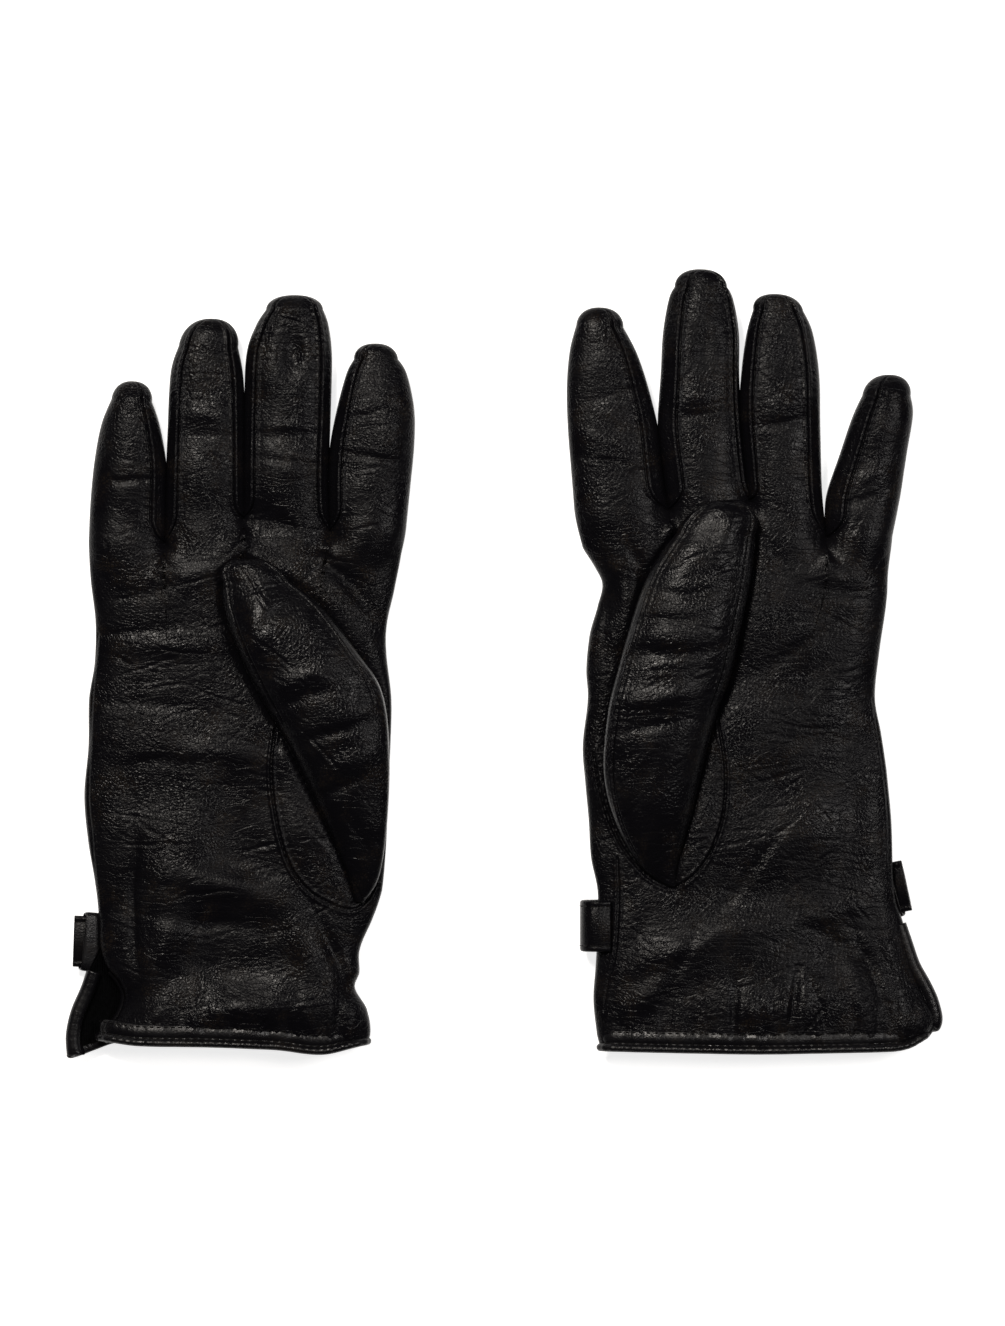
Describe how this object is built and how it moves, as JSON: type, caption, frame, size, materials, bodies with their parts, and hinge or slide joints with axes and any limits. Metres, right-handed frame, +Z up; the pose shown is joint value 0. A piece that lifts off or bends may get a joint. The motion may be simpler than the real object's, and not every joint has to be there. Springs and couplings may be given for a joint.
{
  "type": "leather gloves",
  "caption": "Pair of full-fingered lined leather gloves lying palm up, with side-walled fingers, keystone thumbs, bound slit cuffs and wrist straps.",
  "frame": {"origin": "under the middle of the pair, on the surface the gloves lie on", "axes": "+Z up, +Y towards the fingertips, +X towards the left-hand glove"},
  "size_m": [0.2906, 0.2647, 0.0274],
  "materials": {
    "hand_leather": "smooth black nappa leather, semi-gloss",
    "thumb_leather": "finely pebbled black leather",
    "binding_leather": "folded black leather binding with two rows of stitches",
    "strap_leather": "folded and stitched black leather",
    "knit_lining": "dark knitted lining"
  },
  "bodies": {
    "right_hand": {"right_palm": "hand_leather", "right_back": "hand_leather", "right_hem": "binding_leather", "right_strap": "strap_leather", "right_keeper": "binding_leather", "right_thumb_base": "thumb_leather", "right_hand_lining": "knit_lining"},
    "right_thumb": {"right_thumb_front": "thumb_leather", "right_thumb_back": "thumb_leather", "right_thumb_lining": "knit_lining"},
    "right_index": {"right_index_wrap": "hand_leather", "right_index_fourchette": "hand_leather", "right_index_lining": "knit_lining"},
    "right_middle": {"right_middle_front": "hand_leather", "right_middle_back": "hand_leather", "right_middle_fourchette_index": "hand_leather", "right_middle_fourchette_ring": "hand_leather", "right_middle_lining": "knit_lining"},
    "right_ring": {"right_ring_front": "hand_leather", "right_ring_back": "hand_leather", "right_ring_fourchette_middle": "hand_leather", "right_ring_fourchette_little": "hand_leather", "right_ring_lining": "knit_lining"},
    "right_little": {"right_little_front": "hand_leather", "right_little_back": "hand_leather", "right_little_fourchette": "hand_leather", "right_little_lining": "knit_lining"},
    "left_hand": {"left_palm": "hand_leather", "left_back": "hand_leather", "left_hem": "binding_leather", "left_strap": "strap_leather", "left_keeper": "binding_leather", "left_thumb_base": "thumb_leather", "left_hand_lining": "knit_lining"},
    "left_thumb": {"left_thumb_front": "thumb_leather", "left_thumb_back": "thumb_leather", "left_thumb_lining": "knit_lining"},
    "left_index": {"left_index_wrap": "hand_leather", "left_index_fourchette": "hand_leather", "left_index_lining": "knit_lining"},
    "left_middle": {"left_middle_front": "hand_leather", "left_middle_back": "hand_leather", "left_middle_fourchette_index": "hand_leather", "left_middle_fourchette_ring": "hand_leather", "left_middle_lining": "knit_lining"},
    "left_ring": {"left_ring_front": "hand_leather", "left_ring_back": "hand_leather", "left_ring_fourchette_middle": "hand_leather", "left_ring_fourchette_little": "hand_leather", "left_ring_lining": "knit_lining"},
    "left_little": {"left_little_front": "hand_leather", "left_little_back": "hand_leather", "left_little_fourchette": "hand_leather", "left_little_lining": "knit_lining"}
  },
  "joints": [
    {"name": "right_index_curl", "type": "hinge", "parent": "right_hand", "child": "right_index", "pos_m": [-0.0462, 0.046, 0.0144], "axis": [1, 0, 0], "range_deg": [0, 75]},
    {"name": "right_middle_curl", "type": "hinge", "parent": "right_hand", "child": "right_middle", "pos_m": [-0.0742, 0.051, 0.0144], "axis": [1, 0, 0], "range_deg": [0, 75]},
    {"name": "right_ring_curl", "type": "hinge", "parent": "right_hand", "child": "right_ring", "pos_m": [-0.1016, 0.047, 0.0144], "axis": [1, 0, 0], "range_deg": [0, 75]},
    {"name": "right_little_curl", "type": "hinge", "parent": "right_hand", "child": "right_little", "pos_m": [-0.1276, 0.041, 0.0144], "axis": [1, 0, 0], "range_deg": [0, 75]},
    {"name": "right_thumb_lift", "type": "hinge", "parent": "right_hand", "child": "right_thumb", "pos_m": [-0.0575, -0.02175, 0.0278], "axis": [1, 0, 0], "range_deg": [0, 60]},
    {"name": "left_glove_slide", "type": "slide", "parent": "right_hand", "child": "left_hand", "axis": [1, 0, 0], "range_m": [0, 0.1]},
    {"name": "left_index_curl", "type": "hinge", "parent": "left_hand", "child": "left_index", "pos_m": [0.04, 0.052, 0.0144], "axis": [1, 0, 0], "range_deg": [0, 75]},
    {"name": "left_middle_curl", "type": "hinge", "parent": "left_hand", "child": "left_middle", "pos_m": [0.0702, 0.057, 0.0144], "axis": [1, 0, 0], "range_deg": [0, 75]},
    {"name": "left_ring_curl", "type": "hinge", "parent": "left_hand", "child": "left_ring", "pos_m": [0.0978, 0.052, 0.0144], "axis": [1, 0, 0], "range_deg": [0, 75]},
    {"name": "left_little_curl", "type": "hinge", "parent": "left_hand", "child": "left_little", "pos_m": [0.1214, 0.043, 0.0144], "axis": [1, 0, 0], "range_deg": [0, 75]},
    {"name": "left_thumb_lift", "type": "hinge", "parent": "left_hand", "child": "left_thumb", "pos_m": [0.053, -0.01775, 0.0278], "axis": [1, 0, 0], "range_deg": [0, 60]}
  ]
}
